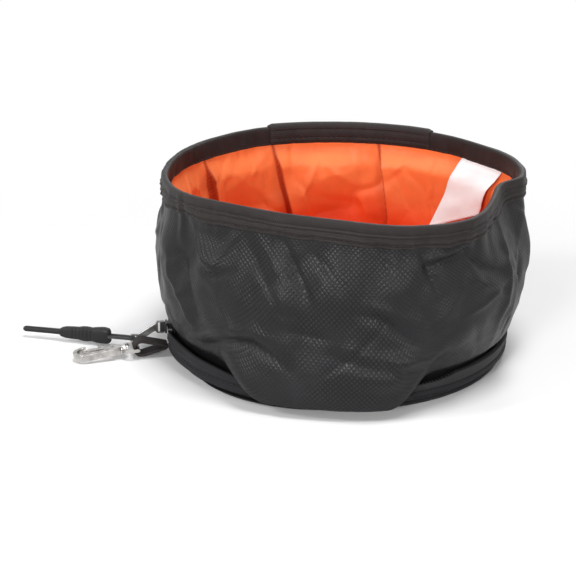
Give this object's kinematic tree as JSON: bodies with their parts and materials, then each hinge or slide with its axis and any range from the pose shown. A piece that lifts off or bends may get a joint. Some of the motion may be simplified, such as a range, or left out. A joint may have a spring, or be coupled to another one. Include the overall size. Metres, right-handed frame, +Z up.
{
  "type": "collapsible pet bowl",
  "caption": "Collapsible fabric travel bowl with a stiff zip-up base and lid, a bound rim, a zip pull and a swivel snap hook.",
  "frame": {"origin": "centre of the underside of the folded lid, on the surface that the bowl stands on", "axes": "+Z up along the bowl's axis, -Y towards the viewer of the picture, hook and zip pull at the left (-X)"},
  "size_m": [0.2745, 0.2012, 0.1028],
  "materials": {
    "ripstop_charcoal": "satin woven nylon with a ripstop grid",
    "lining_orange": "coated satin nylon",
    "binding_black": "woven binding tape and webbing",
    "cover_black": "woven nylon",
    "board": "stiff sheet, never seen",
    "floor_coating": "coated fabric",
    "label_white": "woven satin tape, blank",
    "zip_black": "moulded teeth",
    "slider_black": "black painted zinc",
    "metal_bright": "bright plated zinc",
    "metal_dull": "plain steel",
    "cord_black": "braided cord",
    "grip_black": "moulded soft plastic"
  },
  "bodies": {
    "base": {"base_board": "board", "base_cover": "cover_black", "base_floor": "floor_coating", "spine_tape": "cover_black", "zip_tape": "binding_black", "zip_teeth": "zip_black", "zip_stop_open": "metal_dull", "zip_stop_closed": "metal_dull", "wall_outer": "ripstop_charcoal", "wall_lining": "lining_orange", "care_label": "label_white"},
    "rim": {"rim_hem": "binding_black", "rim_webbing": "binding_black"},
    "lid": {"lid_board": "board", "lid_cover": "cover_black", "lid_spine_flap": "cover_black", "lid_zip_tape": "binding_black", "lid_zip_teeth": "zip_black"},
    "slider": {"zip_slider": "slider_black"},
    "tab": {"pull_tab": "metal_bright"},
    "pull": {"pull_cord": "cord_black", "pull_grip": "grip_black"},
    "loop": {"hang_loop": "binding_black"},
    "eye": {"swivel_eye": "metal_bright"},
    "hook": {"hook_body": "metal_bright", "gate_pin": "metal_dull", "gate_spring": "metal_dull"},
    "gate": {"hook_gate": "metal_bright"}
  },
  "joints": [
    {"name": "rim_press", "type": "slide", "parent": "base", "child": "rim", "axis": [0, 0, -1], "range_m": [0, 0.069], "deforming": ["wall_outer", "wall_lining", "care_label"]},
    {"name": "lid_fold", "type": "hinge", "parent": "base", "child": "lid", "pos_m": [-0.04036, -0.08655, 0.00265], "axis": [-0.9063, 0.4226, 0], "range_deg": [0, 180]},
    {"name": "slider_run", "type": "hinge", "parent": "base", "child": "slider", "pos_m": [0, 0, 0.0119], "axis": [0, 0, 1], "range_deg": [-249, 0]},
    {"name": "tab_swing", "type": "hinge", "parent": "slider", "child": "tab", "pos_m": [-0.09453, -0.01245, 0.0119], "axis": [0, 0, 1], "range_deg": [-50, 5]},
    {"name": "pull_swing", "type": "hinge", "parent": "tab", "child": "pull", "pos_m": [-0.11188, -0.01473, 0.0059], "axis": [0, 0, 1], "range_deg": [-25, 20]},
    {"name": "loop_bend", "type": "hinge", "parent": "base", "child": "loop", "pos_m": [-0.09257, -0.02222, 0.00555], "axis": [-0.2334, 0.9724, 0], "range_deg": [-70, 40]},
    {"name": "eye_tilt", "type": "hinge", "parent": "loop", "child": "eye", "pos_m": [-0.10667, -0.02561, 0.00555], "axis": [-0.2334, 0.9724, 0], "range_deg": [-45, 40]},
    {"name": "hook_swivel", "type": "hinge", "parent": "eye", "child": "hook", "pos_m": [-0.10667, -0.02561, 0.00555], "axis": [-0.9687, -0.2326, -0.0872], "continuous": true},
    {"name": "gate_press", "type": "hinge", "parent": "hook", "child": "gate", "pos_m": [-0.11981, -0.02784, 0.00439], "axis": [-0.0847, -0.0203, 0.9962], "range_deg": [0, 13], "stiffness_Nm_per_rad": 0.002, "springref_deg": -28.65}
  ]
}
